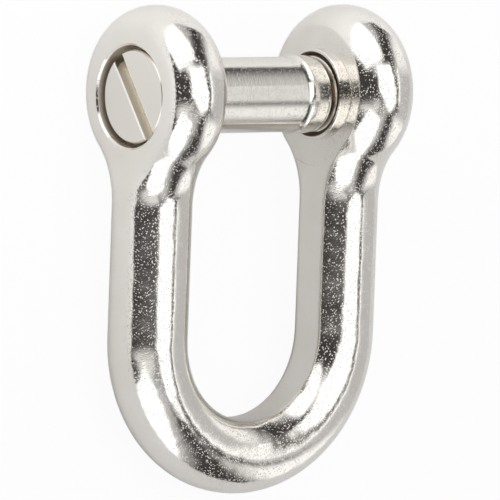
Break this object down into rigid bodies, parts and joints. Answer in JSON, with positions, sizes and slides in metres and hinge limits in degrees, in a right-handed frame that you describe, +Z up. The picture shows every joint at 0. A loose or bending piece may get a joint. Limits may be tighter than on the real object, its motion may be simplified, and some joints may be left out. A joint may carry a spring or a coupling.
{
  "type": "shackle",
  "caption": "Polished D shackle with rounded ears and a sunk, slotted screw pin across its jaw, for joining chain, rope eyes and fittings.",
  "frame": {"origin": "middle of the pin's axis, halfway between the flat inner faces of the two ears", "axes": "+X along the pin from its slotted head to its threaded end, +Y level, from the bow's bend towards the pin's side, +Z up from the table the shackle lies on"},
  "size_m": [0.0326, 0.0495, 0.0177],
  "materials": {
    "polished_steel": "electropolished, slightly rippled",
    "turned_steel": "fine turned, with the lathe's rings showing"
  },
  "bodies": {
    "bow": {"bow": "polished_steel"},
    "pin": {"pin": "turned_steel"}
  },
  "joints": [
    {"name": "pin_slide", "type": "slide", "parent": "bow", "child": "pin", "axis": [-1, 0, 0], "range_m": [0, 0.04]}
  ]
}
